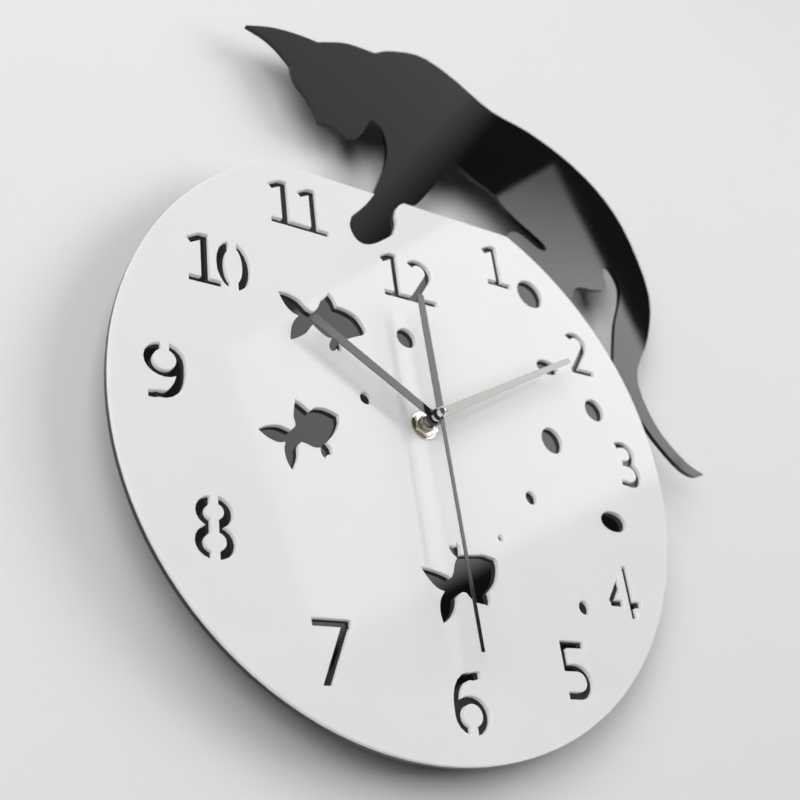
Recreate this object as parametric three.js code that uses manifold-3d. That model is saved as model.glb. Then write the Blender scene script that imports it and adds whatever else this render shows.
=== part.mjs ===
// A wall clock on a quartz movement, cut from two acrylic sheets: a black cat over a round white dial.
// It is laid out flat, as its front is seen: x to the right, y up, z out of the wall and towards the viewer,
// with z = 0 at the wall and the spindle on the z axis. The last lines stand it up. Sizes are in millimetres.

import * as THREE from 'three';
import { mergeVertices } from 'three/addons/utils/BufferGeometryUtils.js';
import Module from 'manifold-3d';

const wasm = await Module();
wasm.setup();

// ---- Driving dimensions ----

// The two acrylic sheets. Their outlines are drawn from a datum of their own, a little off the spindle.
// The flat top of the dial is a chord of its circle.
const datum = [1, -1];
const dialCentre = [0.9, 0.7];
const dialRadius = 148.9;
const dialTop = 130.2;
const sheetThickness = 2.5;
const glueLine = 0.1;

// The numerals: tall narrow figures with upright stems a little wider than their bars.
const figureHeight = 26;
const stemWidth = 4.1;
const barWidth = 3.3;
const figurePitch = 15.4;

// The movement: a square case with the battery bay under the gear chamber.
const caseSide = 56;
const caseDepth = 16;
const caseWall = 1.2;
const coverThickness = 1.5;
const cellRadius = 7.1;
const cellLength = 49;
const fit = 0.3;

// Depths of the stack in front of the case, each piece resting on the one before it.
const seat = 0.1;
const hangerThickness = 0.8;
const washerThickness = 1;
const hangerZ = caseDepth + seat;
const washerZ = hangerZ + hangerThickness + seat;
const catZ = washerZ + washerThickness + seat;
const dialZ = catZ + sheetThickness + glueLine;
const dialFace = dialZ + sheetThickness;
const nutZ = dialFace + 0.6;

// Heights of the hands over the face of the dial, their lengths and the way they point, clockwise from 12.
const handThickness = 0.4;
const hourHand = { height: 8.8, length: 70.9, root: 4.3, tip: 5, hub: 3.9, degrees: 303.1 };
const minuteHand = { height: 11.5, length: 102.3, root: 4.8, tip: 2.9, hub: 3.1, degrees: 62.1 };
const secondHand = { height: 13.4, length: 107.6, root: 2, tip: 1.7, hub: 2.3, degrees: 178.3 };
const counterArm = { length: 62.5, root: 4, tip: 3.7 };

// Radii of the nested shafts.
const secondShaft = 0.5;
const minuteTube = { inner: 0.8, outer: 1.5 };
const hourTube = { inner: 1.8, outer: 2.5 };
const bushTube = { inner: 2.8, outer: 4 };
const arborRadius = 0.5;
const pivotHole = 0.6;

// ---- Solids ----

function solidOf(geometry) {
  geometry.deleteAttribute('normal');
  geometry.deleteAttribute('uv');
  const closed = mergeVertices(geometry, 1e-4);
  const triVerts = closed.index.array;
  const vertProperties = closed.attributes.position.array;
  return new wasm.Manifold(new wasm.Mesh({ numProp: 3, vertProperties, triVerts }));
}

function geometryOf(solid) {
  const { vertProperties, triVerts } = solid.getMesh();
  const geometry = new THREE.BufferGeometry();
  geometry.setAttribute('position', new THREE.BufferAttribute(vertProperties, 3));
  geometry.setIndex(new THREE.BufferAttribute(triVerts, 1));
  return geometry;
}

function union(solids) {
  return solids.reduce((whole, next) => whole.add(next));
}

// A flat shape thickened from z0 to z1.
function slab(shape, z0, z1, curveSegments = 6) {
  const geometry = new THREE.ExtrudeGeometry(shape, { depth: z1 - z0, bevelEnabled: false, curveSegments });
  return solidOf(geometry.translate(0, 0, z0));
}

function disc(radius, z0, z1, [x, y] = [0, 0], segments = 24) {
  const geometry = new THREE.CylinderGeometry(radius, radius, z1 - z0, segments);
  return solidOf(geometry.rotateX(Math.PI / 2).translate(x, y, (z0 + z1) / 2));
}

function ring(inner, outer, z0, z1, centre = [0, 0], segments = 24) {
  return disc(outer, z0, z1, centre, segments).subtract(disc(inner, z0 - 1, z1 + 1, centre, segments));
}

function box([x0, x1], [y0, y1], [z0, z1]) {
  const geometry = new THREE.BoxGeometry(x1 - x0, y1 - y0, z1 - z0);
  return solidOf(geometry.translate((x0 + x1) / 2, (y0 + y1) / 2, (z0 + z1) / 2));
}

// A cylinder lying along x.
function rodAlongX(radius, [x0, x1], y, z, segments = 20) {
  const geometry = new THREE.CylinderGeometry(radius, radius, x1 - x0, segments);
  return solidOf(geometry.rotateZ(Math.PI / 2).translate((x0 + x1) / 2, y, z));
}

// ---- Outlines ----

// A closed outline of smooth stretches that meet in corners. A stretch starts where the one before it ended,
// and a stretch of a single point is a straight line.
function outline(start, stretches, [x, y] = [0, 0]) {
  const shape = new THREE.Shape();
  shape.moveTo(start[0] + x, start[1] + y);
  for (const stretch of stretches) {
    const points = stretch.map((p) => new THREE.Vector2(p[0] + x, p[1] + y));
    if (points.length === 1) shape.lineTo(points[0].x, points[0].y);
    else shape.splineThru(points);
  }
  return shape;
}

function ellipse([x, y], rx, ry = rx) {
  return new THREE.Shape().absellipse(x, y, rx, ry, 0, 2 * Math.PI);
}

// ---- The cat and the dial ----

// The foreleg below the top of the dial, from its back edge round the paw to its front edge.
const paw = [
  [[7.5, 131], [2.4, 126.8], [0.3, 121], [0, 115], [-3.5, 107.2]],
  [[-11.5, 100.8], [-17.5, 97.2], [-22.5, 96.2], [-26.6, 98.6], [-28.7, 105], [-26.8, 111.5]],
  [[-17.7, 121.2], [-11.3, 130.2]],
];

const earTip = [-76.5, 218.5];

// Clockwise from the tip of the ear. The tail, the haunch and the hind foot run in behind the dial.
const catOutline = outline(earTip, [
  [[-62, 224.2], [-47, 226.8], [-33.4, 227]],
  [[-27.5, 230], [-14, 235.3], [4, 236.5]],
  [
    [15, 243.2], [37, 249.3], [59, 242], [84, 227.5], [112, 222], [140, 210.6], [163.5, 192.5],
    [178.8, 166], [185.2, 124], [174, 90.5], [158.3, 66.5], [155.8, 50], [163, 28.5], [178, 12], [191, 5.8],
  ],
  [[182, 3.6], [171, 8], [156, 24], [144, 44]],
  [[136, 56]],
  [
    [140.5, 70], [148.4, 93.5], [157, 111], [160, 124.5], [154.6, 135], [148.7, 129], [147.6, 118],
    [137, 113.8], [126, 112.6], [120, 107.5], [113, 93],
  ],
  [[72, 124]],
  [[78.5, 135], [84, 138.3], [90, 137], [98, 132.2], [103.8, 131], [106, 133.8], [102, 138.3], [89.5, 146.3]],
  [[80.5, 153.2], [73, 161.6], [58, 168.8], [47.9, 176]],
  [[37.5, 161.2], [22.5, 141.3], [15.6, 134], paw[0][0]],
  paw[0].slice(1),
  paw[1],
  paw[2],
  [[-5, 143.6], [-0.4, 154], [3, 167], [1.4, 179.5], [-4, 183.9], [-8, 179], [-14, 169.3], [-22, 165.6]],
  [[-26.4, 167.5], [-32, 169.7], [-38.2, 169.2]],
  [[-40, 176], [-44.3, 184], [-49.8, 191], [-51.8, 198], [-52, 202.2]],
  [[-58.2, 209.5], [-66, 215.2], earTip],
]);

// The opening in the dial that shows the paw. It runs out past the dial's flat top.
const pawOpening = outline(paw[0][0], [paw[0].slice(1), paw[1], paw[2], [[-11.3, 140]], [[7.5, 140]]]);

// Three goldfish swimming to the right, each round its own middle.
const leapingFish = outline([-23.5, 10.5], [
  [[-18.5, 10.7], [-13, 8.8], [-9, 5.2], [-6, 4]],
  [[-3.7, 6.5], [-1.5, 11], [1.5, 14], [3, 17.3]],
  [[5.5, 14.3], [7, 10.3]],
  [[12, 9.8], [17.5, 7.3], [21.3, 1.6], [20, -2]],
  [[14, -4.7], [9.5, -6.9], [7.2, -8.5]],
  [[7.1, -11.8], [5.9, -14.7]],
  [[4.4, -13]],
  [[2.7, -14.4], [1, -14.5]],
  [[0.6, -11.8], [2.3, -8]],
  [[-0.5, -7.7], [-4, -5.5], [-7, -3]],
  [[-10.5, -7.8], [-14.5, -11.2], [-19, -13.6]],
  [[-18.3, -8], [-16.3, -3], [-13.9, -0.1]],
  [[-17, 1], [-20.6, 4.4], [-23.5, 10.5]],
], [-48, 45]);

const levelFish = outline([-2.2, 17.2], [
  [[1.5, 15.3], [4.9, 12.8]],
  [[7.7, 14.9], [13, 15.3], [18.9, 13.5]],
  [[18.8, 9.8], [16, 4.2], [11.7, -0.8]],
  [[13.6, -3], [14.1, -6.4]],
  [[11.4, -6.8]],
  [[10.2, -9.1]],
  [[8.4, -7], [8.2, -4]],
  [[5, -4.3], [1.5, -3.2], [-0.9, -2.8]],
  [[-2.3, -5], [-2.8, -10], [-5.9, -17]],
  [[-8.2, -13], [-9.1, -8], [-8.4, -4]],
  [[-12, -4.7], [-17, -3], [-20.7, -0.2]],
  [[-16, 2.3], [-10.5, 3.3], [-5.2, 2]],
  [[-3, 4.5], [-3.6, 8.5], [-3, 13], [-2.2, 17.2]],
], [-65, -15]);

const divingFish = outline([-21.3, 5.8], [
  [[-15.5, 5.2], [-9, 3.7], [-5.7, 2.3]],
  [[-4.2, 4.6], [-2.8, 8.8], [-0.9, 11.6]],
  [[-3.4, 13.6], [-4.8, 16.7]],
  [[-2.8, 17.2], [-0.8, 16.7]],
  [[-0.5, 19]],
  [[1.7, 17.3], [1.5, 13.3]],
  [[8.5, 13.9], [15, 14.5], [21, 13.2]],
  [[21.4, 9], [18.9, 2.6], [13.8, -2.6]],
  [[14.2, -6], [12.9, -10.2]],
  [[11, -8.6], [8, -8.2], [4.5, -7.3], [1.3, -4]],
  [[-1, -3.8], [-3.7, -6]],
  [[-4.7, -10], [-8, -14.8], [-13.2, -18.2]],
  [[-14, -13], [-13, -8], [-10.3, -4.2]],
  [[-14.5, -2.5], [-18.5, 1.8], [-21.3, 5.8]],
], [8, -73]);

// The bubbles, round and oval: where each one is, and its half width and half height.
const bubbles = [
  ellipse([83.1, 94.8], 8.6),
  ellipse([-4, 47], 5.4),
  ellipse([77.8, 6.7], 6.8, 7.2),
  ellipse([112.6, 30.1], 6.5),
  ellipse([108.7, -32.8], 8.6, 5.5),
  ellipse([76.9, -78.8], 3.4),
  ellipse([56.7, -26.9], 3.5),
  ellipse([33.7, -49.5], 1.7),
  ellipse([-31, 9.5], 3.1),
  ellipse([84.8, 50.1], 7.2, 4.4),
];

// ---- Numerals ----

// Points along part of an ellipse, from one angle to another in degrees.
function arc([x, y], rx, ry, from, to) {
  const steps = Math.ceil(Math.abs(to - from) / 18);
  return Array.from({ length: steps + 1 }, (_, i) => {
    const angle = THREE.MathUtils.degToRad(from + ((to - from) * i) / steps);
    return [x + rx * Math.cos(angle), y + ry * Math.sin(angle)];
  });
}

// A pen line along some points. The pen is wider across a stem than across a bar.
function penLine(points) {
  const left = [];
  const right = [];
  points.forEach(([x, y], i) => {
    const [ax, ay] = points[Math.max(i - 1, 0)];
    const [bx, by] = points[Math.min(i + 1, points.length - 1)];
    const length = Math.hypot(bx - ax, by - ay);
    const dx = (((ay - by) / length) * stemWidth) / 2;
    const dy = (((bx - ax) / length) * barWidth) / 2;
    left.push(new THREE.Vector2(x + dx, y + dy));
    right.unshift(new THREE.Vector2(x - dx, y - dy));
  });
  return new THREE.Shape([...left, ...right]);
}

// A closed pen line round an ellipse.
function penRing(centre, rx, ry) {
  const shape = ellipse(centre, rx + stemWidth / 2, ry + barWidth / 2);
  shape.holes.push(ellipse(centre, rx - stemWidth / 2, ry - barWidth / 2));
  return shape;
}

const top = figureHeight / 2;
const bar = top - barWidth / 2;
const beyond = top + 1;
const sixTail = [[7, bar], [4.6, bar], ...arc([1.2, -0.5], 8.1, bar + 0.1, 80, 180), [-6.9, -5]];
const turned = (points) => points.map(([x, y]) => [-x, -y]);

// Each figure is drawn round its own middle. A bridge is a strip left standing, so that no island drops out.
const figures = {
  0: { lines: [], rings: [penRing([0, 0], 6.2, bar)], bridge: [[-1.8, 1.8], [-beyond, beyond]] },
  1: { lines: [[[-7.6, 7.8], [0.5, 12.5]], [[0, top], [0, -top]], [[-7.8, -bar], [7.8, -bar]]] },
  2: { lines: [[...arc([-1, 5.9], 5.8, 5.4, 150, -30), [-6, -bar]], [[-8, -bar], [8, -bar]]] },
  3: {
    lines: [
      [[-7, 10.2], ...arc([-1.6, 5.95], 5.6, 5.4, 105, -90), [-4.4, 0.55]],
      [[-4.4, 0.55], ...arc([-1.2, -5.4], 6.7, 5.95, 90, -105), [-7.6, -10.4]],
    ],
  },
  4: {
    lines: [[[-9.4, -5.9], [4.1, 12.9]], [[-10.2, -5.9], [10.4, -5.9]], [[4.1, top], [4.1, -top]]],
    bridge: [[-1.4, 4.1 - stemWidth / 2], [-beyond, beyond]],
  },
  5: {
    lines: [
      [[-8.1, bar], [6.4, bar]],
      [[-6.1, top], [-6.1, 0]],
      [[-8.1, 0.95], ...arc([-1, -5.2], 6.8, 6.15, 90, -90), [-7.9, -bar]],
    ],
  },
  6: { lines: [sixTail], rings: [penRing([0, -4.95], 6.9, 6.35)], bridge: [[-1.9, 1.4], [-beyond, -8]] },
  7: { lines: [[[-8.9, bar], [8.9, bar]], [[7.1, 12.2], [-4.4, -beyond]]] },
  8: {
    lines: [],
    rings: [penRing([0, 6.3], 5.9, 5.1), penRing([0, -5.85], 6.5, 5.6)],
    bridge: [[-1.6, 1.6], [-beyond, beyond]],
  },
  9: {
    lines: [turned(sixTail)],
    rings: [penRing([0, 4.95], 6.9, 6.35)],
    bridge: [[-1.4, 1.9], [8, beyond]],
  },
};

// Where the first figure of each numeral stands. The 12 is lower than the rest, to leave room for the paw.
const numerals = {
  1: [62.5, 107],
  2: [110.6, 63.9],
  3: [129.1, 1.1],
  4: [104.7, -69.1],
  5: [65.4, -107.9],
  6: [3.3, -123.5],
  7: [-59, -105.4],
  8: [-106.3, -60.1],
  9: [-125.2, 3.8],
  10: [-106, 63.1],
  11: [-64.1, 106.9],
  12: [-5.1, 82.4],
};

// A cutter in the shape of one figure, through the thickness of the dial.
function figureCutter(digit, [x, y]) {
  const { lines, rings = [], bridge } = figures[digit];
  const depth = [dialZ - 1, dialFace + 1];
  const pen = union([...lines.map(penLine), ...rings].map((shape) => slab(shape, ...depth, 10)));
  const trimmed = pen.intersect(box([-20, 20], [-top, top], depth));
  const figure = bridge ? trimmed.subtract(box(...bridge, [depth[0] - 1, depth[1] + 1])) : trimmed;
  return figure.translate(x, y, 0);
}

function numeralCutter(hour, [x, y]) {
  const digits = [...String(hour)].map(Number);
  const pitch = digits[1] === 0 ? figurePitch - 2 : figurePitch;
  return union(digits.map((digit, i) => figureCutter(digit, [x + i * pitch, y])));
}

// ---- Sheets ----

const spindleHole = disc(bushTube.outer + fit, catZ - 1, dialFace + 1);

// The round sheet with its flat top, from z0 up through one sheet's thickness.
function roundSheet(z0) {
  const full = disc(dialRadius, z0, z0 + sheetThickness, dialCentre, 120);
  const reach = dialRadius + 10;
  return full.intersect(box([-reach, reach], [-reach, dialTop], [z0 - 1, z0 + sheetThickness + 1]));
}

function catPanel() {
  const cat = slab(catOutline, catZ, catZ + sheetThickness, 3);
  return roundSheet(catZ).add(cat).translate(...datum, 0).subtract(spindleHole);
}

function dialPlate() {
  const openings = [pawOpening, leapingFish, levelFish, divingFish]
    .map((shape) => slab(shape, dialZ - 1, dialFace + 1, 3));
  const holes = bubbles.map((shape) => slab(shape, dialZ - 1, dialFace + 1, 10));
  const figuresCut = Object.entries(numerals).map(([hour, place]) => numeralCutter(hour, place));
  const sheet = roundSheet(dialZ).subtract(union([...openings, ...holes, ...figuresCut]));
  return sheet.translate(...datum, 0).subtract(spindleHole);
}

// ---- Gears ----

const fullTurn = 2 * Math.PI;

// A gear blank with straight-sided teeth, thin enough to run free at every angle. A tooth points along phase.
function gearShape(teeth, module, phase) {
  const radius = (teeth * module) / 2;
  const pitch = fullTurn / teeth;
  const corners = [[-0.22, -1.1], [-0.08, 0.78], [0.08, 0.78], [0.22, -1.1]];
  const points = [];
  for (let tooth = 0; tooth < teeth; tooth += 1) {
    for (const [across, out] of corners) {
      const angle = phase + (tooth + across) * pitch;
      const reach = radius + out * module;
      points.push(new THREE.Vector2(reach * Math.cos(angle), reach * Math.sin(angle)));
    }
  }
  return new THREE.Shape(points);
}

function gear({ teeth, module, phase = 0 }, [z0, z1], [x, y] = [0, 0]) {
  return slab(gearShape(teeth, module, phase), z0, z1).translate(x, y, 0);
}

// The phase that puts a gear in mesh with another one, whose axis it lies from in a given direction.
function meshedPhase(driver, teeth, direction) {
  const offset = ((direction - (driver.phase ?? 0)) * driver.teeth) / fullTurn;
  const fraction = offset - Math.floor(offset);
  return direction + Math.PI + ((fraction + 0.5) * fullTurn) / teeth;
}

function along(direction, distance, [x, y] = [0, 0]) {
  return [x + distance * Math.cos(direction), y + distance * Math.sin(direction)];
}

const toRadians = THREE.MathUtils.degToRad;
const reachOf = (a, b) => ((a.teeth + b.teeth) * a.module) / 2;

// The going train. Each stage's module is set so that coaxial stages share one centre distance.
const thirdWay = toRadians(145);
const fifthWay = toRadians(35);
const rotorWay = toRadians(20);
const secondWheel = { teeth: 36, module: 0.36 };
const secondPinion = { teeth: 6, module: 0.36 };
const thirdWheel = { teeth: 45, module: 0.36, phase: meshedPhase(secondPinion, 45, thirdWay) };
const thirdPinion = { teeth: 6, module: 0.34 };
const centreWheel = { teeth: 48, module: 0.34, phase: meshedPhase(thirdPinion, 48, thirdWay + Math.PI) };
const fifthPinion = { teeth: 6, module: 0.36, phase: meshedPhase(secondWheel, 6, fifthWay) };
const fifthWheel = { teeth: 30, module: 0.34 };
const rotorLeaves = { teeth: 6, module: 0.34, phase: meshedPhase(fifthWheel, 6, rotorWay) };
const thirdAxis = along(thirdWay, reachOf(secondPinion, thirdWheel));
const fifthAxis = along(fifthWay, reachOf(secondWheel, fifthPinion));
const rotorAxis = along(rotorWay, reachOf(fifthWheel, rotorLeaves), fifthAxis);

// The motion work, which turns the hour hand, and the knob that sets the hands.
const intermediateWay = toRadians(90);
const knobWay = toRadians(110);
const cannonPinion = { teeth: 8, module: 0.45 };
const intermediateWheel = { teeth: 24, module: 0.45, phase: meshedPhase(cannonPinion, 24, intermediateWay) };
const intermediatePinion = { teeth: 8, module: 0.36 };
const hourWheel = { teeth: 32, module: 0.36, phase: meshedPhase(intermediatePinion, 32, -intermediateWay) };
const knobPinion = { teeth: 8, module: 0.45, phase: meshedPhase(intermediateWheel, 8, knobWay) };
const intermediateAxis = along(intermediateWay, reachOf(cannonPinion, intermediateWheel));
const knobAxis = along(knobWay, reachOf(intermediateWheel, knobPinion), intermediateAxis);

// Depths in the case, from the back cover to the front wall: where each wheel starts and where it ends.
const frontWall = caseDepth - caseWall;
const plateZ = [7, 7.9];
const depths = {
  fifthPinion: [2.6, 5.9],
  secondWheel: [3, 3.8],
  rotorMagnet: [3, 5.4],
  secondPinion: [3.8, 6.2],
  thirdWheel: [4.8, 5.6],
  rotorLeaves: [5.7, 6.8],
  fifthWheel: [5.9, 6.6],
  centreWheel: [8.2, 9],
  thirdPinion: [8.2, 9.4],
  cannonPinion: [9.2, 11],
  knobPinion: [9.6, 10.8],
  intermediateWheel: [9.8, 10.6],
  intermediatePinion: [10.6, 13.4],
  hourWheel: [12.2, 13.2],
};
const bossRadius = 1.3;
const bossHeight = 0.8;
const pivotDepth = 0.7;
const postRadius = 0.6;
const knobHead = { teeth: 18, module: 0.5 };
const knobHeadZ = [0.1, 2.2];

// An arbor of the going train, with its back pivot in the cover.
function arbor(frontEnd, axis) {
  return disc(arborRadius, coverThickness - pivotDepth, frontEnd, axis, 12);
}

function rotorPinion() {
  return gear(rotorLeaves, depths.rotorLeaves, rotorAxis).add(arbor(plateZ[1] - 0.2, rotorAxis));
}

function rotorMagnet() {
  return ring(arborRadius + 0.1, 2.6, ...depths.rotorMagnet, rotorAxis);
}

function fifthWheelPiece() {
  const pinion = gear(fifthPinion, depths.fifthPinion, fifthAxis);
  const wheel = gear(fifthWheel, depths.fifthWheel, fifthAxis);
  return union([pinion, wheel, arbor(plateZ[1] - 0.2, fifthAxis)]);
}

function thirdWheelPiece() {
  const wheel = gear(thirdWheel, depths.thirdWheel, thirdAxis);
  const pinion = gear(thirdPinion, depths.thirdPinion, thirdAxis);
  return union([wheel, pinion, arbor(frontWall + 0.4, thirdAxis)]);
}

function secondWheelPiece() {
  const shaft = arbor(dialFace + secondHand.height + 1.8, [0, 0]);
  return union([gear(secondWheel, depths.secondWheel), gear(secondPinion, depths.secondPinion), shaft]);
}

function centreWheelPiece() {
  return gear(centreWheel, depths.centreWheel).subtract(disc(minuteTube.outer + 0.1, 8, 10));
}

function minuteArbor() {
  const tubeEnd = dialFace + minuteHand.height + handThickness + 0.2;
  const tube = disc(minuteTube.outer, depths.centreWheel[0], tubeEnd);
  return tube.add(gear(cannonPinion, depths.cannonPinion)).subtract(disc(minuteTube.inner, 8, 40));
}

function intermediateWheelPiece() {
  const wheels = gear(intermediateWheel, depths.intermediateWheel, intermediateAxis)
    .add(gear(intermediatePinion, depths.intermediatePinion, intermediateAxis));
  return wheels.subtract(disc(postRadius + 0.15, 9, 14, intermediateAxis, 12));
}

function hourWheelPiece() {
  const tube = disc(hourTube.outer, depths.hourWheel[0], dialFace + hourHand.height + handThickness + 0.1);
  return tube.add(gear(hourWheel, depths.hourWheel)).subtract(disc(hourTube.inner, 12, 40));
}

// The setting knob lies flush in the back cover, with a slot for a coin across its head.
function setKnob() {
  const [x, y] = knobAxis;
  const slot = box([x - 3.2, x + 3.2], [y - 0.6, y + 0.6], [-1, 1]);
  const head = gear(knobHead, knobHeadZ, knobAxis).subtract(slot);
  const shaft = disc(0.8, 2, 9.8, knobAxis, 16);
  return union([head, shaft, gear(knobPinion, depths.knobPinion, knobAxis)]);
}

// ---- The movement's case ----

const half = caseSide / 2;
const inner = half - caseWall;
const bayTop = -inner + 2 * cellRadius + 0.6;
const chamberBottom = bayTop + caseWall;
const cellY = -inner + cellRadius + 0.3;
const cellZ = 7.5;

// Bosses that hold the pivots: one for each arbor that ends at this wall.
function bosses(axes, z0, z1) {
  return axes.map((axis) => disc(bossRadius, z0, z1, axis, 16));
}

function pivotHoles(axes, z0, z1) {
  return axes.map((axis) => disc(pivotHole, z0, z1, axis, 12));
}

// The housing is open at the back: the gear chamber above, and the battery bay with a cut-away lower edge.
function movementHousing() {
  const shell = box([-half, half], [-half, half], [0, caseDepth])
    .subtract(box([-inner, inner], [chamberBottom, inner], [-1, frontWall]))
    .subtract(box([-inner, inner], [-inner, bayTop], [-1, frontWall]))
    .subtract(box([-9, 9], [-half - 1, -inner + 1], [-1, 6]));
  const post = disc(postRadius, 9.4, frontWall + 0.1, intermediateAxis, 12);
  const ledges = [-1, 1].map((side) => {
    const [x0, x1] = [side * (inner - 1.6), side * (inner + 0.2)].sort((a, b) => a - b);
    return box([x0, x1], [chamberBottom - 0.2, inner + 0.2], [plateZ[1] + seat, frontWall + 0.1]);
  });
  const pivotBosses = bosses([thirdAxis], frontWall - bossHeight, frontWall + 0.1);
  const whole = union([shell, post, ...ledges, ...pivotBosses]);
  const bushHole = disc(bushTube.outer + 0.1, frontWall - 1, caseDepth + 1);
  return whole.subtract(union([bushHole, ...pivotHoles([thirdAxis], frontWall - 1, frontWall + 0.6)]));
}

function movementBackCover() {
  const gap = 0.15;
  const plate = box([-inner + gap, inner - gap], [chamberBottom + gap, inner - gap], [0, coverThickness]);
  const axes = [thirdAxis, fifthAxis, rotorAxis, [0, 0]];
  const knobHole = disc(5.4, -1, 3, knobAxis);
  const whole = union([plate, ...bosses(axes, coverThickness - 0.1, coverThickness + bossHeight)]);
  return whole.subtract(union([knobHole, ...pivotHoles(axes, coverThickness - 0.9, 4)]));
}

// The plate between the going train and the motion work.
function gearPlate() {
  const gap = 0.15;
  const plate = box([-inner + gap, inner - gap], [chamberBottom + gap, inner - gap], plateZ);
  const [z0, z1] = [plateZ[0] - 1, plateZ[1] + 1];
  const pivots = pivotHoles([fifthAxis, rotorAxis], z0, z1);
  const spindle = disc(1, z0, z1, [0, 0], 16);
  const thirdHole = disc(1, z0, z1, thirdAxis, 16);
  const knobHole = disc(1.2, z0, z1, knobAxis, 16);
  return plate.subtract(union([...pivots, spindle, thirdHole, knobHole]));
}

// The threaded bush, held inside the front wall by its flange.
function threadedBush() {
  const flange = disc(6, frontWall - 1, frontWall - 0.1, [0, 0], 24);
  const barrel = disc(bushTube.outer, frontWall - 1, dialFace + 5, [0, 0], 24);
  return flange.add(barrel).subtract(disc(bushTube.inner, 0, 60));
}

function hexNut() {
  const acrossCorners = 13;
  const hexagon = disc(acrossCorners / 2, nutZ, nutZ + 2.2, [0, 0], 6);
  return hexagon.subtract(disc(bushTube.outer + 0.1, nutZ - 1, nutZ + 4));
}

// A folded steel strip: its foot sits round the bush, it turns back at the top of the case, and its upright
// tab has the opening for the nail.
function hanger() {
  const [width, t] = [22, hangerThickness];
  const rise = half + fit;
  const [tabZ, tabTop] = [2, 46];
  const foot = box([-width / 2, width / 2], [-9, rise + t], [hangerZ, hangerZ + t]);
  const web = box([-width / 2, width / 2], [rise, rise + t], [tabZ, hangerZ + t]);
  const tab = box([-width / 2, width / 2], [rise, tabTop], [tabZ, tabZ + t]);
  const nailOpening = box([-4, 4], [rise + 4, tabTop - 4], [tabZ - 1, tabZ + t + 1]);
  const bushHole = disc(bushTube.outer + fit, hangerZ - 1, hangerZ + 2);
  return union([foot, web, tab]).subtract(union([bushHole, nailOpening]));
}

// ---- Power and drive ----

// An AA cell with its cap towards +x.
function batteryCell() {
  const end = cellLength / 2;
  const can = rodAlongX(cellRadius, [-end, end], cellY, cellZ, 32);
  return can.add(rodAlongX(2.7, [end - 0.5, end + 1.2], cellY, cellZ, 16));
}

// A contact is a strip folded over the end wall of the bay, with a dimple towards the cell.
function batteryContact(side) {
  const wall = side * (inner - 0.15);
  const [x0, x1] = [wall, wall - side * 0.4].sort((a, b) => a - b);
  const strip = box([x0, x1], [cellY - 5, cellY + 5], [3, 14]);
  const dimpleEnd = wall - side * (side > 0 ? 0.7 : 1.6);
  const dimple = rodAlongX(2, [wall - side * 0.2, dimpleEnd].sort((a, b) => a - b), cellY, cellZ, 12);
  return strip.add(dimple);
}

const boardSpan = { x: [-25.5, -17.2], y: [-6, 24], z: [3, 3.8] };

function circuitBoard() {
  return box(boardSpan.x, boardSpan.y, boardSpan.z);
}

function timingChip() {
  const dome = solidOf(new THREE.SphereGeometry(2.6, 16, 10));
  return dome.scale([1, 1, 0.45]).translate(-21.3, 4, boardSpan.z[1] + 0.1)
    .intersect(box([-30, 0], [-10, 30], [boardSpan.z[1] + 0.1, 12]));
}

function quartzCrystal() {
  const geometry = new THREE.CylinderGeometry(1, 1, 6, 16);
  return solidOf(geometry.translate(-21.3, 17, boardSpan.z[1] + 1.15));
}

// The stator: a loop of sheet iron with a round hole for the rotor, and a core through the coil.
const coilY = 20;
const statorZ = [3.7, 4.7];

function stator() {
  const [rx, ry] = rotorAxis;
  const lower = box([rx - 3.7, 25.5], [ry - 5, ry + 5], statorZ);
  const arms = [[rx - 3.7, rx - 0.7], [22.5, 25.5]].map((x) => box(x, [ry, coilY + 1.5], statorZ));
  const core = box([rx - 3.7, 25.5], [coilY - 1.2, coilY + 1.2], statorZ);
  const slit = box([rx + 3, rx + 3.6], [ry - 0.3, ry + 0.3], [3, 6]);
  return union([lower, ...arms, core]).subtract(union([disc(3.3, 3, 6, rotorAxis), slit]));
}

const coilX = [12.6, 21.2];

function coilBobbin() {
  const y = [coilY - 3.4, coilY + 3.4];
  const z = [2, 6.4];
  const cheeks = [[coilX[0] - 0.9, coilX[0]], [coilX[1], coilX[1] + 0.9]].map((x) => box(x, y, z));
  const tube = box([coilX[0] - 0.5, coilX[1] + 0.5], [coilY - 1.8, coilY + 1.8], [3.2, 5.2]);
  const bore = box([0, 30], [coilY - 1.35, coilY + 1.35], [statorZ[0] - 0.15, statorZ[1] + 0.15]);
  return union([...cheeks, tube]).subtract(bore);
}

function coilWinding() {
  const x = [coilX[0] + 0.1, coilX[1] - 0.1];
  const body = box(x, [coilY - 3.1, coilY + 3.1], [2.3, 6.1]);
  return body.subtract(box([0, 30], [coilY - 1.9, coilY + 1.9], [3.1, 5.3]));
}

// ---- Hands ----

// A square-ended arm that points to 12.
function arm({ length, root, tip }, z) {
  const corners = [[-root / 2, 0], [root / 2, 0], [tip / 2, length], [-tip / 2, length]];
  return slab(new THREE.Shape(corners.map((p) => new THREE.Vector2(...p))), ...z);
}

// A hand: its arm, a counterweight arm if it has one, and the hub that is bored for its shaft.
function hand(blade, shaftRadius, counterweight) {
  const z = [dialFace + blade.height, dialFace + blade.height + handThickness];
  const arms = [arm(blade, z)];
  if (counterweight) arms.push(arm(counterweight, z).rotate([0, 0, 180]));
  const whole = union([...arms, disc(blade.hub, ...z)]);
  return whole.subtract(disc(shaftRadius + 0.05, z[0] - 1, z[1] + 1)).rotate([0, 0, -blade.degrees]);
}

// A hand's bush: a short collar under the blade that grips its tube.
function handBush({ height }, bore, radius, depth) {
  const topZ = dialFace + height - 0.05;
  return ring(bore + 0.05, radius, topZ - depth, topZ);
}

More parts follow.
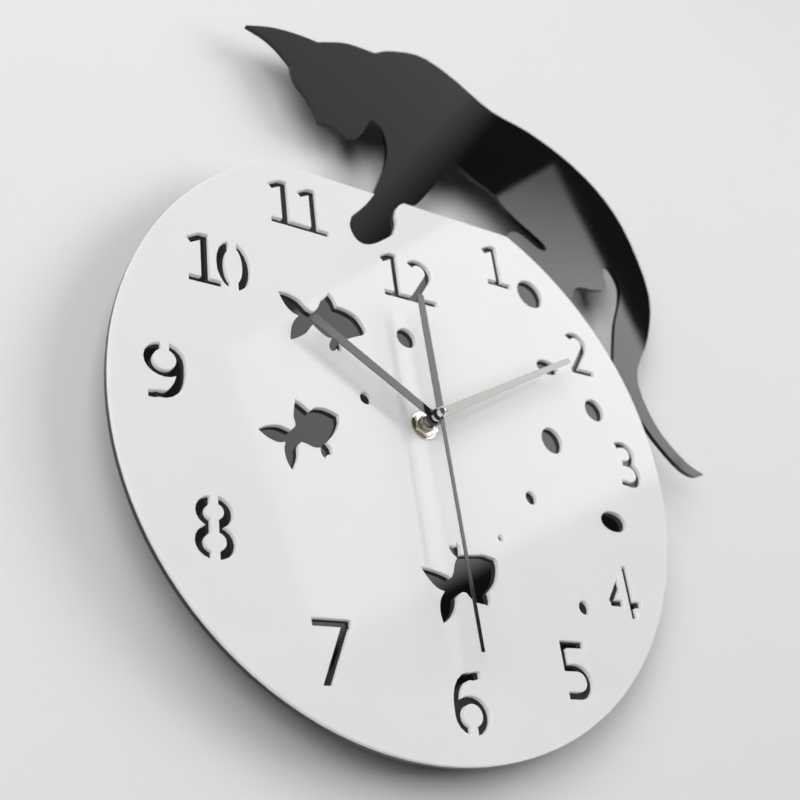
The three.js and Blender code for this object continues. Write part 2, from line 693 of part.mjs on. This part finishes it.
function secondHandCap() {
  const z0 = dialFace + secondHand.height + handThickness + 0.05;
  const profile = [[0, 0], [2.8, 0], [2.8, 1.3], [2.5, 2.2], [1.7, 2.8], [0.8, 3.1], [0, 3.2]];
  const geometry = new THREE.LatheGeometry(profile.map((p) => new THREE.Vector2(...p)), 24);
  const cap = solidOf(geometry.rotateX(Math.PI / 2).translate(0, 0, z0));
  return cap.subtract(disc(secondShaft + 0.05, z0 - 1, z0 + 1.45, [0, 0], 12));
}

// ---- Finishes ----

function finish(color, roughness, metalness = 0) {
  return new THREE.MeshStandardMaterial({ color, roughness, metalness });
}

const blackAcrylic = finish(0x0b0b0c, 0.08);
const whiteAcrylic = finish(0xf1f1f0, 0.1);
const blackPlastic = finish(0x141415, 0.5);
const whitePlastic = finish(0xe6e4dc, 0.5);
const clearWhitePlastic = finish(0xd9dad2, 0.4);
const yellowPlastic = finish(0xd8c86a, 0.45);
const bluePlastic = finish(0x3d6fa5, 0.45);
const rubber = finish(0x161616, 0.8);
const brass = finish(0xc9a65a, 0.3, 1);
const nickel = finish(0xc9c5b6, 0.2, 1);
const steel = finish(0xb9bbbd, 0.35, 1);
const chrome = finish(0xd8dadc, 0.08, 1);
const blackPaint = finish(0x121213, 0.25);
const copper = finish(0xb06a3b, 0.4, 1);
const boardGreen = finish(0x1f6b3c, 0.5);
const cellSleeve = finish(0x2b4c8c, 0.35);
const magnet = finish(0x3a3a3c, 0.5, 0.6);

// ---- The clock ----

function piece(name, solid, material) {
  const mesh = new THREE.Mesh(geometryOf(solid), material);
  mesh.name = name;
  return mesh;
}

const clock = new THREE.Group();
clock.add(
  piece('cat_panel', catPanel(), blackAcrylic),
  piece('dial_plate', dialPlate(), whiteAcrylic),
  piece('movement_housing', movementHousing(), blackPlastic),
  piece('movement_back_cover', movementBackCover(), blackPlastic),
  piece('gear_plate', gearPlate(), whitePlastic),
  piece('threaded_bush', threadedBush(), nickel),
  piece('hanger', hanger(), steel),
  piece('rubber_washer', ring(bushTube.outer + 0.1, 9, washerZ, washerZ + washerThickness), rubber),
  piece('plate_washer', ring(bushTube.outer + 0.1, 6.9, dialFace + seat, nutZ - seat), nickel),
  piece('hex_nut', hexNut(), nickel),
  piece('battery_cell', batteryCell(), cellSleeve),
  piece('battery_contact_plus', batteryContact(1), steel),
  piece('battery_contact_minus', batteryContact(-1), steel),
  piece('circuit_board', circuitBoard(), boardGreen),
  piece('timing_chip', timingChip(), blackPlastic),
  piece('quartz_crystal', quartzCrystal(), steel),
  piece('stator', stator(), steel),
  piece('coil_bobbin', coilBobbin(), whitePlastic),
  piece('coil_winding', coilWinding(), copper),
  piece('rotor_magnet', rotorMagnet(), magnet),
  piece('rotor_pinion', rotorPinion(), bluePlastic),
  piece('fifth_wheel', fifthWheelPiece(), yellowPlastic),
  piece('third_wheel', thirdWheelPiece(), clearWhitePlastic),
  piece('second_wheel', secondWheelPiece(), bluePlastic),
  piece('centre_wheel', centreWheelPiece(), clearWhitePlastic),
  piece('minute_arbor', minuteArbor(), brass),
  piece('intermediate_wheel', intermediateWheelPiece(), yellowPlastic),
  piece('hour_wheel', hourWheelPiece(), whitePlastic),
  piece('set_knob', setKnob(), whitePlastic),
  piece('hour_hand', hand(hourHand, hourTube.outer), blackPaint),
  piece('hour_hand_bush', handBush(hourHand, hourTube.outer, 3.5, 2), blackPaint),
  piece('minute_hand', hand(minuteHand, minuteTube.outer), blackPaint),
  piece('minute_hand_bush', handBush(minuteHand, minuteTube.outer, 2.9, 1.8), chrome),
  piece('second_hand', hand(secondHand, secondShaft, counterArm), blackPaint),
  piece('second_hand_bush', handBush(secondHand, secondShaft, 1.9, 1.05), chrome),
  piece('second_hand_cap', secondHandCap(), chrome),
);

// Stood up: the dial faces -Y, and the wall is the plane y = 0.
clock.rotation.x = Math.PI / 2;

export default clock;
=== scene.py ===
"""A wall clock cut from two acrylic sheets, a black cat over a white stencil dial, on a quartz movement.

Metres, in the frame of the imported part: the dial faces -Y, the wall is the plane y = 0 and +Z is up.
"""

import math

import bpy
from mathutils import Matrix, Vector


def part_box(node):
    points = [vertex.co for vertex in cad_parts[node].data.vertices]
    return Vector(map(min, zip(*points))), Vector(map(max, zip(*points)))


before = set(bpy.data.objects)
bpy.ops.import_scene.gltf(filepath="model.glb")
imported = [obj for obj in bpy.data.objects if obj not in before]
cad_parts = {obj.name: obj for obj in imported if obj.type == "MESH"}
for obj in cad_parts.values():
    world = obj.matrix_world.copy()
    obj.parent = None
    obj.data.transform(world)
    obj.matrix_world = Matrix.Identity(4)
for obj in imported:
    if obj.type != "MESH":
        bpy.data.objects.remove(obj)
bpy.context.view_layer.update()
mm = 0.001


# ---- Materials ----

BLACK = (0, 0, 0)
NICKEL = (0.72, 0.69, 0.60)
NICKEL_SHADE = (0.62, 0.58, 0.49)
WHITE = (0.74, 0.73, 0.68)
CLEAR_WHITE = (0.62, 0.64, 0.58)
YELLOW = (0.62, 0.46, 0.11)
BLUE = (0.05, 0.14, 0.36)
BRASS = (0.80, 0.62, 0.32)
BRASS_SHADE = (0.66, 0.47, 0.20)
CHROME = (0.82, 0.82, 0.84)
CHROME_SHADE = (0.70, 0.70, 0.72)
STEEL = (0.55, 0.56, 0.57)
PAINT = (0.012, 0.012, 0.013)
MASK_GREEN = (0.012, 0.11, 0.035)
TRACK_GREEN = (0.03, 0.20, 0.06)
COPPER = (0.75, 0.33, 0.14)
# The painted shade in the grooves of the coil winding.
COPPER_PAINTED_GROOVE_SHADE = (0.22, 0.07, 0.025)
SLEEVE_BLUE = (0.015, 0.03, 0.10)
SLEEVE_GOLD = (0.62, 0.36, 0.13)
# The colour of the painted glow on the white sheet's cut walls.
OPAL_EDGE_PAINTED_GLOW = (0.98, 0.95, 1.0)
ACRYLIC_IOR = 1.49

class Finish:
    """A node material being built. An input may be a number, a colour or another node's output."""

    def __init__(self, name, **values):
        self.material = bpy.data.materials.new(name)
        self.material.use_nodes = True
        self.tree = self.material.node_tree
        self.shader = self.tree.nodes["Principled BSDF"]
        self.place = self.node("ShaderNodeTexCoord").outputs["Object"]
        for key, value in values.items():
            self.set(key, value)

    def put(self, value, socket):
        """Links or writes a value into an input."""
        if isinstance(value, bpy.types.NodeSocket):
            self.tree.links.new(value, socket)
        elif socket.type == "RGBA" and len(value) == 3:
            socket.default_value = (*value, 1)
        else:
            socket.default_value = value

    def set(self, name, value):
        """Sets an input of the main shader."""
        self.put(value, self.shader.inputs[name])

    def node(self, kind, inputs=None, **settings):
        node = self.tree.nodes.new(kind)
        for key, value in settings.items():
            setattr(node, key, value)
        for key, value in (inputs or {}).items():
            self.put(value, node.inputs[key])
        return node

    def maths(self, operation, a, b=0.0):
        return self.node("ShaderNodeMath", {0: a, 1: b}, operation=operation).outputs[0]

    def stretched(self, scale):
        """The place on the object, with each axis scaled."""
        return self.node("ShaderNodeMapping", {"Vector": self.place, "Scale": scale}).outputs[0]

    def noise(self, scale, detail=2.0, place=None):
        inputs = {"Vector": place or self.place, "Scale": scale, "Detail": detail}
        return self.node("ShaderNodeTexNoise", inputs).outputs["Fac"]

    def between(self, value, low, high, start=0.0, end=1.0):
        """A value mapped from low..high to start..end, and held at the ends."""
        inputs = {"Value": value, "From Min": low, "From Max": high, "To Min": start, "To Max": end}
        return self.node("ShaderNodeMapRange", inputs).outputs[0]

    def mix_values(self, share, a, b):
        """From a to b as the share goes from 0 to 1, for numbers."""
        return self.node("ShaderNodeMix", {0: share, 2: a, 3: b}).outputs[0]

    def mix(self, share, a, b):
        """From a to b as the share goes from 0 to 1, for colours."""
        node = self.node("ShaderNodeMix", data_type="RGBA")
        for value, socket in ((share, 0), (a, 6), (b, 7)):
            self.put(value, node.inputs[socket])
        return node.outputs[2]

    def axis(self, letter, vector=None):
        return self.node("ShaderNodeSeparateXYZ", {0: vector or self.place}).outputs[letter]

    def side_wall(self):
        """1 on the walls that run through a sheet's thickness, 0 on its faces."""
        normal = self.node("ShaderNodeNewGeometry").outputs["True Normal"]
        return self.maths("LESS_THAN", self.maths("ABSOLUTE", self.axis("Y", normal)), 0.5)

    def radius(self):
        """Distance from the spindle."""
        flat = self.node("ShaderNodeMapping", {"Vector": self.place, "Scale": (1, 0, 1)}).outputs[0]
        return self.node("ShaderNodeVectorMath", {0: flat}, operation="LENGTH").outputs["Value"]

    def specks(self, per_metre, share, size):
        """1 on scattered specks: a share of the cells of a grid this fine, each a disc of this size."""
        cells = self.node("ShaderNodeTexVoronoi", {"Vector": self.place, "Scale": per_metre})
        chosen = self.maths("LESS_THAN", self.axis("X", cells.outputs["Color"]), share)
        near = self.maths("LESS_THAN", cells.outputs["Distance"], size)
        return self.maths("MULTIPLY", chosen, near)

    def mix_shaders(self, share, a, b):
        """Makes the surface a mix of two shaders, from a to b as the share goes from 0 to 1."""
        mixed = self.node("ShaderNodeMixShader", {0: share, 1: a, 2: b}).outputs[0]
        self.put(mixed, self.tree.nodes["Material Output"].inputs["Surface"])

    def clear(self):
        return self.node("ShaderNodeBsdfTransparent").outputs[0]

    def bump(self, height, depth):
        """Raises the surface by height, which is 0 to 1, times depth in metres, over any bump so far."""
        inputs = {"Height": height, "Distance": depth, "Strength": 1.0}
        socket = self.shader.inputs["Normal"]
        if socket.is_linked:
            inputs["Normal"] = socket.links[0].from_socket
        self.put(self.node("ShaderNodeBump", inputs).outputs[0], socket)


def acrylic(name, face, wall, dust, roughness):
    """Cast sheet with a polished face, laser-cut walls that show the beam's lines, and a little dust."""
    finish = Finish(name, IOR=ACRYLIC_IOR)
    is_wall = finish.side_wall()
    dusty_face = finish.mix(finish.specks(260, 0.035, 0.045), face, dust)
    shade = finish.between(finish.noise(24, 3), 0.3, 0.7, 0.0, 0.02)
    finish.set("Base Color", finish.mix(shade, finish.mix(is_wall, dusty_face, wall), BLACK))
    smear = finish.between(finish.noise(40, 4), 0.4, 0.8, roughness, roughness * 1.5)
    finish.set("Roughness", finish.mix_values(is_wall, smear, 0.16))
    finish.bump(finish.noise(18, 1), 0.02 * mm)
    beam_lines = finish.noise(1, 2, finish.stretched((2200, 90, 2200)))
    finish.bump(finish.maths("MULTIPLY", beam_lines, is_wall), 0.03 * mm)
    return finish


def black_acrylic():
    face, wall, dust = (0.002, 0.002, 0.002), (0.004, 0.004, 0.005), (0.05, 0.05, 0.05)
    return acrylic("black_acrylic", face, wall, dust, 0.03)


def white_acrylic():
    """Opal sheet. A faint painted glow on its cut walls stands in for the light it carries there, so they are
    nearly as bright as its face.
    """
    face, wall, dust = (0.815, 0.815, 0.815), (0.95, 0.93, 0.93), (0.35, 0.34, 0.33)
    finish = acrylic("white_acrylic", face, wall, dust, 0.05)
    finish.set("Specular IOR Level", 0.28)
    # Painted glow: the cut walls emit a little light of their own, standing in for light carried through the
    # sheet.
    finish.set("Emission Color", OPAL_EDGE_PAINTED_GLOW)
    finish.set("Emission Strength", finish.maths("MULTIPLY", finish.side_wall(), 0.12))
    finish.set("Subsurface Weight", 1.0)
    finish.set("Subsurface Radius", (1, 1, 1))
    finish.set("Subsurface Scale", 1.5 * mm)
    return finish


def enamel(name, ior, sheen=(1, 1, 1)):
    """Gloss paint on a thin stamped blade, with orange peel and a few specks of dust."""
    finish = Finish(name, IOR=ior)
    finish.set("Base Color", finish.mix(finish.specks(900, 0.03, 0.1), PAINT, (0.12, 0.12, 0.12)))
    finish.set("Roughness", finish.between(finish.noise(300, 3), 0.3, 0.8, 0.1, 0.18))
    finish.set("Specular Tint", sheen)
    finish.bump(finish.noise(900, 2), 0.002 * mm)
    return finish


def turned_metal(name, colour, tarnish, roughness):
    """Metal turned on a lathe: fine rings round the spindle, and a patchy tone."""
    finish = Finish(name, Metallic=1.0)
    patches = finish.between(finish.noise(350, 4), 0.4, 0.75)
    finish.set("Base Color", finish.mix(patches, colour, tarnish))
    wear = finish.between(finish.noise(500, 3), 0.3, 0.7, roughness * 0.8, roughness * 1.3)
    finish.set("Roughness", wear)
    rings = finish.node("ShaderNodeCombineXYZ", {"X": finish.radius()}).outputs[0]
    finish.bump(finish.noise(9000, 2, rings), 0.004 * mm)
    return finish


def threaded_nickel(pitch=0.75 * mm):
    """Nickel with the shade of a screw thread round its side."""
    finish = turned_metal("threaded_nickel", NICKEL, NICKEL_SHADE, 0.2)
    turn = finish.maths("ARCTAN2", finish.axis("Z"), finish.axis("X"))
    along = finish.maths("DIVIDE", finish.axis("Y"), pitch)
    phase = finish.maths("ADD", along, finish.maths("DIVIDE", turn, math.tau))
    groove = finish.maths("PINGPONG", phase, 0.5)
    finish.bump(finish.maths("MULTIPLY", groove, finish.side_wall()), 0.5 * mm)
    return finish


def sheet_steel(name="sheet_steel", colour=STEEL, grain=(4000, 4000, 120)):
    """Plated sheet steel with a rolled grain."""
    finish = Finish(name, Metallic=1.0)
    lines = finish.noise(1, 3, finish.stretched(grain))
    finish.set("Base Color", finish.mix(finish.noise(220, 4), colour, tuple(0.7 * c for c in colour)))
    finish.set("Roughness", finish.between(lines, 0.3, 0.7, 0.28, 0.45))
    finish.bump(lines, 0.004 * mm)
    return finish


def moulded(name, colour, roughness, grain, clearness=0.0):
    """Moulded plastic: a fine spark-eroded grain, a slight sink, and an uneven sheen."""
    finish = Finish(name, IOR=1.46)
    shade = tuple(0.82 * c for c in colour)
    patches = finish.between(finish.noise(160, 4), 0.35, 0.7)
    finish.set("Base Color", finish.mix(patches, colour, shade))
    sheen = finish.between(finish.noise(90, 3), 0.3, 0.7, roughness - 0.08, roughness + 0.08)
    finish.set("Roughness", sheen)
    finish.set("Subsurface Weight", clearness)
    finish.set("Subsurface Radius", (1, 1, 1))
    finish.set("Subsurface Scale", 0.5 * mm)
    finish.bump(finish.noise(3500, 2), grain)
    finish.bump(finish.noise(60, 1), 0.05 * mm)
    return finish


def rubber():
    """Black rubber with talc in its grain."""
    finish = moulded("rubber", BLACK, 0.75, 0.03 * mm)
    talc = finish.specks(1800, 0.2, 0.2)
    finish.set("Base Color", finish.mix(talc, (0.018, 0.018, 0.018), (0.07, 0.07, 0.07)))
    return finish


def winding(pitch=0.14 * mm):
    """Enamelled copper wire laid side by side round the bobbin, with painted shade darkening the grooves
    between the turns.
    """
    finish = Finish("winding", Metallic=1.0, Roughness=0.28)
    wobble = finish.maths("MULTIPLY", finish.noise(900, 2), 0.5 * pitch)
    along = finish.maths("DIVIDE", finish.maths("ADD", finish.axis("X"), wobble), pitch)
    wire = finish.maths("PINGPONG", along, 0.5)
    # Painted shade: the copper is darkest in the grooves between the wires and brightest on their crowns.
    finish.set("Base Color", finish.mix(finish.maths("MULTIPLY", wire, 2), COPPER_PAINTED_GROOVE_SHADE, COPPER))
    finish.bump(wire, 0.08 * mm)
    return finish


def board():
    """Solder mask over copper tracks."""
    finish = Finish("board", IOR=1.5, Roughness=0.3)
    inputs = {"Vector": finish.stretched((420, 0, 260)), "Scale": 1.0, "Mortar Size": 0.09}
    tracks = finish.node("ShaderNodeTexBrick", inputs, offset=0.5).outputs["Fac"]
    finish.set("Base Color", finish.mix(tracks, MASK_GREEN, TRACK_GREEN))
    finish.bump(tracks, 0.03 * mm)
    return finish


def cell_sleeve():
    """A shrink sleeve in two plain colours with a line between, and the can's bare steel at both ends."""
    finish = Finish("cell_sleeve", IOR=1.5)
    low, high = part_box("battery_cell")
    collar_start = high.x - 17 * mm
    line_half_width = 0.35 * mm
    x = finish.axis("X")
    in_collar = finish.maths("GREATER_THAN", x, collar_start)
    from_line = finish.maths("ABSOLUTE", finish.maths("SUBTRACT", x, collar_start))
    on_line = finish.maths("LESS_THAN", from_line, line_half_width)
    past_high = finish.maths("GREATER_THAN", x, high.x - 1.7 * mm)
    past_low = finish.maths("LESS_THAN", x, low.x + 0.4 * mm)
    bare = finish.maths("MAXIMUM", past_high, past_low)
    sleeve = finish.mix(in_collar, SLEEVE_BLUE, SLEEVE_GOLD)
    sleeve = finish.mix(on_line, sleeve, (0.75, 0.75, 0.75))
    finish.set("Base Color", finish.mix(bare, sleeve, (0.6, 0.6, 0.6)))
    finish.set("Metallic", finish.mix_values(finish.maths("MAXIMUM", bare, in_collar), 0.25, 1.0))
    finish.set("Roughness", finish.between(finish.noise(250, 3), 0.3, 0.7, 0.18, 0.3))
    finish.bump(finish.noise(1, 2, finish.stretched((60, 500, 500))), 0.04 * mm)
    return finish


FINE_GRAIN = 0.006 * mm
COARSE_GRAIN = 0.02 * mm

acrylic_black = black_acrylic()
acrylic_white = white_acrylic()
case_black = moulded("case_black", (0.014, 0.014, 0.015), 0.45, COARSE_GRAIN)
nylon_white = moulded("nylon_white", WHITE, 0.42, FINE_GRAIN, 0.2)
nylon_clear = moulded("nylon_clear", CLEAR_WHITE, 0.35, FINE_GRAIN, 0.4)
acetal_yellow = moulded("acetal_yellow", YELLOW, 0.38, FINE_GRAIN, 0.2)
acetal_blue = moulded("acetal_blue", BLUE, 0.38, FINE_GRAIN, 0.1)
ferrite = moulded("ferrite", (0.045, 0.045, 0.05), 0.55, COARSE_GRAIN)
chip_resin = moulded("chip_resin", (0.01, 0.01, 0.01), 0.25, 0.004 * mm)
nickel = turned_metal("nickel", NICKEL, NICKEL_SHADE, 0.16)
brass = turned_metal("brass", BRASS, BRASS_SHADE, 0.2)
chrome = turned_metal("chrome", CHROME, CHROME_SHADE, 0.07)
steel = sheet_steel()
can_steel = sheet_steel("can_steel", (0.68, 0.68, 0.70), (90, 3000, 3000))
lamination_steel = sheet_steel("lamination_steel", (0.42, 0.42, 0.44))
dark_paint = enamel("dark_paint", 1.7)
pale_gloss_paint = enamel("pale_gloss_paint", 2.6, (1.0, 0.98, 0.94))

# The finish of each CAD node, and how far its edges are rounded, in millimetres.
LOOKS = {
    "cat_panel": (acrylic_black, 0.15),
    "dial_plate": (acrylic_white, 0.15),
    "movement_housing": (case_black, 0.35),
    "movement_back_cover": (case_black, 0.2),
    "gear_plate": (nylon_white, 0.1),
    "threaded_bush": (threaded_nickel(), 0.12),
    "hanger": (steel, 0.15),
    "rubber_washer": (rubber(), 0.2),
    "plate_washer": (nickel, 0.08),
    "hex_nut": (nickel, 0.2),
    "battery_cell": (cell_sleeve(), 0.3),
    "battery_contact_plus": (steel, 0.06),
    "battery_contact_minus": (steel, 0.06),
    "circuit_board": (board(), 0.05),
    "timing_chip": (chip_resin, 0.05),
    "quartz_crystal": (can_steel, 0.1),
    "stator": (lamination_steel, 0.05),
    "coil_bobbin": (nylon_white, 0.08),
    "coil_winding": (winding(), 0.15),
    "rotor_magnet": (ferrite, 0.08),
    "rotor_pinion": (acetal_blue, 0.03),
    "fifth_wheel": (acetal_yellow, 0.03),
    "third_wheel": (nylon_clear, 0.03),
    "second_wheel": (acetal_blue, 0.03),
    "centre_wheel": (nylon_clear, 0.03),
    "minute_arbor": (brass, 0.05),
    "intermediate_wheel": (acetal_yellow, 0.03),
    "hour_wheel": (nylon_white, 0.03),
    "set_knob": (nylon_white, 0.06),
    "hour_hand": (dark_paint, 0.06),
    "hour_hand_bush": (dark_paint, 0.1),
    "minute_hand": (pale_gloss_paint, 0.06),
    "minute_hand_bush": (chrome, 0.1),
    "second_hand": (dark_paint, 0.06),
    "second_hand_bush": (chrome, 0.08),
    "second_hand_cap": (chrome, 0.1),
}


# ---- Shapes ----

SHARP = math.radians(30)
LEVEL = math.radians(0.2)


JOIN_REACH = 0.002 * mm


def joined_and_smoothed():
    """A modifier group that joins a node's loose triangles and shades it smooth between sharp edges."""
    group = bpy.data.node_groups.new("joined_and_smoothed", "GeometryNodeTree")
    group.is_modifier = True
    for way in ("INPUT", "OUTPUT"):
        group.interface.new_socket("Geometry", in_out=way, socket_type="NodeSocketGeometry")
    add = group.nodes.new
    start, weld = add("NodeGroupInput"), add("GeometryNodeMergeByDistance")
    angle, sharp = add("GeometryNodeInputMeshEdgeAngle"), add("FunctionNodeCompare")
    shade, end = add("GeometryNodeSetMeshNormal"), add("NodeGroupOutput")
    weld.inputs["Distance"].default_value = JOIN_REACH
    sharp.operation = "GREATER_THAN"
    sharp.inputs[1].default_value = SHARP
    shade.inputs["Remove Custom"].default_value = True
    link = group.links.new
    link(start.outputs[0], weld.inputs["Geometry"])
    link(weld.outputs["Geometry"], shade.inputs["Mesh"])
    link(angle.outputs["Unsigned Angle"], sharp.inputs[0])
    link(sharp.outputs["Result"], shade.inputs["Edge Sharpness"])
    link(shade.outputs["Mesh"], end.inputs[0])
    return group


def dress(node, finish, rounding, group):
    """Gives a CAD node its finish, smooth shading and rounded edges, and leaves its own mesh alone."""
    node.data.materials.clear()
    node.data.materials.append(finish.material)
    node.modifiers.new("joined", "NODES").node_group = group
    flat = node.modifiers.new("flat_faces", "DECIMATE")
    flat.decimate_type = "DISSOLVE"
    flat.angle_limit = LEVEL
    bevel = node.modifiers.new("rounded_edges", "BEVEL")
    bevel.width = rounding * mm
    bevel.segments = 2
    bevel.limit_method = "ANGLE"
    bevel.angle_limit = SHARP
    bevel.use_clamp_overlap = True
    bevel.harden_normals = True


shared_group = joined_and_smoothed()
for name, (finish, rounding) in LOOKS.items():
    dress(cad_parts[name], finish, rounding, shared_group)


# ---- Wall ----

WALL_REACH = 3.0


def paint_wall(wall):
    """Matt white emulsion. Seen from behind, the wall is clear, so that the back of the clock shows."""
    finish = Finish("wall_paint", Roughness=0.85, IOR=1.4)
    tone = finish.between(finish.noise(3, 3), 0.3, 0.7, 0.98, 1.0)
    finish.set("Base Color", finish.mix(tone, BLACK, (0.8, 0.8, 0.8)))
    finish.bump(finish.noise(700, 3), 0.12 * mm)
    turn = {"vector_type": "POINT", "convert_from": "CAMERA", "convert_to": "WORLD"}
    camera = finish.node("ShaderNodeVectorTransform", {0: (0, 0, 0)}, **turn).outputs[0]
    behind = finish.maths("GREATER_THAN", finish.axis("Y", camera), 0.0)
    finish.mix_shaders(behind, finish.shader.outputs[0], finish.clear())
    wall.data.materials.append(finish.material)


def sheet(name, corners):
    """A flat stage object through some corners."""
    mesh = bpy.data.meshes.new(name)
    mesh.from_pydata(corners, [], [range(len(corners))])
    made = bpy.data.objects.new(name, mesh)
    bpy.context.scene.collection.objects.link(made)
    return made


around = ((-1, -1), (1, -1), (1, 1), (-1, 1))
paint_wall(sheet("wall", [(x * WALL_REACH, 0, z * WALL_REACH) for x, z in around]))


# ---- Studio ----

# The polished sheets mirror the room. Its bright and dark parts are cards a metre in front of the dial, one
# just in front of another, which light nothing and show only in reflections. A corner is (x, z).
CARD_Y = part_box("dial_plate")[0].y - 1.0
CARD_STEP = 5 * mm
DARK_CARD = [(0.63, 0.97), (1.53, 2.14), (2.8, 2.14), (2.8, 0.155), (0.57, 0.155), (0.537, 0.21)]
DIM_CARD = [(-2.5, 1.4), (0.62, 1.4), (0.62, -1.0), (-2.5, -1.0)]
SOFTBOX = [(1.277, 1.387), (0.408, 0.685), (0.537, 0.193), (1.42, 0.61), (1.543, 0.59)]


def past_edge(finish, start, end, blur):
    """0 to 1 over this distance to the left of the line from one corner to another, as seen from the dial."""
    across = Vector((start[1] - end[1], end[0] - start[0])).normalized()
    x = finish.maths("MULTIPLY", finish.axis("X"), across.x)
    z = finish.maths("MULTIPLY", finish.axis("Z"), across.y)
    distance = finish.maths("SUBTRACT", finish.maths("ADD", x, z), across.dot(Vector(start)))
    return finish.between(distance, 0, blur)


def card(name, corners, y, glow):
    """A card seen only in reflections. glow makes its strength and its opacity from its finish."""
    finish = Finish(name)
    strength, cover = glow(finish)
    emission = finish.node("ShaderNodeEmission", {"Color": (1, 1, 1), "Strength": strength}).outputs[0]
    finish.mix_shaders(cover, finish.clear(), emission)
    made = sheet(name, [(x, y, z) for x, z in corners])
    made.data.materials.append(finish.material)
    made.visible_camera = False
    made.visible_diffuse = False
    made.visible_transmission = False
    made.visible_shadow = False


def dark_glow(finish):
    """A dark part of the room, with a soft left-hand edge."""
    return 0.05, past_edge(finish, DARK_CARD[1], DARK_CARD[0], 0.09)


def dim_glow(finish):
    """The room's dimmer left-hand side, which fades in from its right and top edges."""
    right, top = DIM_CARD[1]
    inwards = finish.between(finish.axis("X"), right - 0.34, right, 0.85, 0.0)
    downwards = finish.between(finish.axis("Z"), top - 0.25, top, 1.0, 0.0)
    return 0.0, finish.maths("MULTIPLY", inwards, downwards)


def softbox_glow(finish):
    """Brighter to the right, fading towards the top corner, with a soft lower edge up to its last corner."""
    x, z = finish.axis("X"), finish.axis("Z")
    across = finish.between(x, 0.5, 1.4, 2.3, 3.1)
    upwards = finish.between(z, 1.06, 1.34, 1.0, 0.33)
    lower = past_edge(finish, SOFTBOX[2], SOFTBOX[3], 0.035)
    corner_start = SOFTBOX[3][0]
    corner = finish.between(x, corner_start, corner_start + 0.04)
    return finish.maths("MULTIPLY", across, upwards), finish.maths("MAXIMUM", lower, corner)


card("dim_card", DIM_CARD, CARD_Y - CARD_STEP, dim_glow)
card("dark_card", DARK_CARD, CARD_Y, dark_glow)
card("softbox_card", SOFTBOX, CARD_Y + CARD_STEP, softbox_glow)


CLOCK_MIDDLE = Vector((0, 0, 0.03))

# Name, place, width, height and power in watts.
LIGHT_BANKS = [
    ("front_bank", (-0.5, -1.2, 0.6), 1.0, 1.8, 12),
    ("left_bank", (-1.3, -1.2, 0.1), 0.9, 1.1, 11.5),
    ("right_bank", (1.1, -1.2, 0.2), 0.9, 1.1, 10.2),
    ("far_right_bank", (1.9, -1.2, 0.8), 0.8, 2.4, 10),
    ("rear_left", (-0.9, 1.3, 0.7), 1.0, 1.0, 16),
    ("rear_right", (1.1, 1.2, 0.1), 1.0, 1.0, 9),
]


def area_light(name, place, width, height, power):
    """A soft light turned towards the clock, and not seen in reflections."""
    light = bpy.data.lights.new(name, "AREA")
    light.shape = "RECTANGLE"
    light.size = width
    light.size_y = height
    light.energy = power
    lamp = bpy.data.objects.new(name, light)
    lamp.location = place
    lamp.rotation_euler = (CLOCK_MIDDLE - Vector(place)).to_track_quat("-Z", "Y").to_euler()
    lamp.visible_glossy = False
    bpy.context.scene.collection.objects.link(lamp)


for bank in LIGHT_BANKS:
    area_light(*bank)


def room(ambient=0.03, mirrored=0.72, seen=0.9):
    """A pale even room: what lights the clock, what its polish mirrors, and what the camera sees."""
    world = bpy.data.worlds.new("room")
    world.use_nodes = True
    tree = world.node_tree
    ray = tree.nodes.new("ShaderNodeLightPath")
    in_reflections = tree.nodes.new("ShaderNodeMix")
    in_reflections.inputs[2].default_value = ambient
    in_reflections.inputs[3].default_value = mirrored
    tree.links.new(ray.outputs["Is Glossy Ray"], in_reflections.inputs[0])
    in_view = tree.nodes.new("ShaderNodeMix")
    in_view.inputs[3].default_value = seen
    tree.links.new(ray.outputs["Is Camera Ray"], in_view.inputs[0])
    tree.links.new(in_reflections.outputs[0], in_view.inputs[2])
    background = tree.nodes["Background"]
    background.inputs["Color"].default_value = (1, 1, 1, 1)
    tree.links.new(in_view.outputs[0], background.inputs["Strength"])
    bpy.context.scene.world = world


room()


# ---- Camera ----

# The camera stands low and to the left, close to the clock and tilted. It is sharp at the dial's left.
CAMERA_PLACE = Vector((-0.2723, -0.3693, -0.2134))
CAMERA_RIGHT = Vector((0.82801, -0.54847, -0.11655))
CAMERA_UP = Vector((-0.16962, -0.44314, 0.88026))
FOCUS_PLACE = Vector((-0.065, -0.023, -0.013))
SENSOR_WIDTH = 36
LENS = 48.53
F_STOP = 13


def place_camera():
    camera = bpy.data.objects.new("camera", bpy.data.cameras.new("camera"))
    camera.data.sensor_width = SENSOR_WIDTH
    camera.data.lens = LENS
    back = CAMERA_RIGHT.cross(CAMERA_UP)
    turn = Matrix((CAMERA_RIGHT, CAMERA_UP, back)).transposed().to_4x4()
    camera.matrix_world = Matrix.Translation(CAMERA_PLACE) @ turn
    bpy.context.scene.collection.objects.link(camera)
    bpy.context.scene.camera = camera
    return camera


def focus_on(camera, place):
    """Focuses the camera on a point, which holds when the camera is moved to another view."""
    point = bpy.data.objects.new("focus_point", None)
    point.location = place
    bpy.context.scene.collection.objects.link(point)
    camera.data.dof.use_dof = True
    camera.data.dof.focus_object = point
    camera.data.dof.aperture_fstop = F_STOP


focus_on(place_camera(), FOCUS_PLACE)
bpy.context.scene.view_settings.view_transform = "Standard"
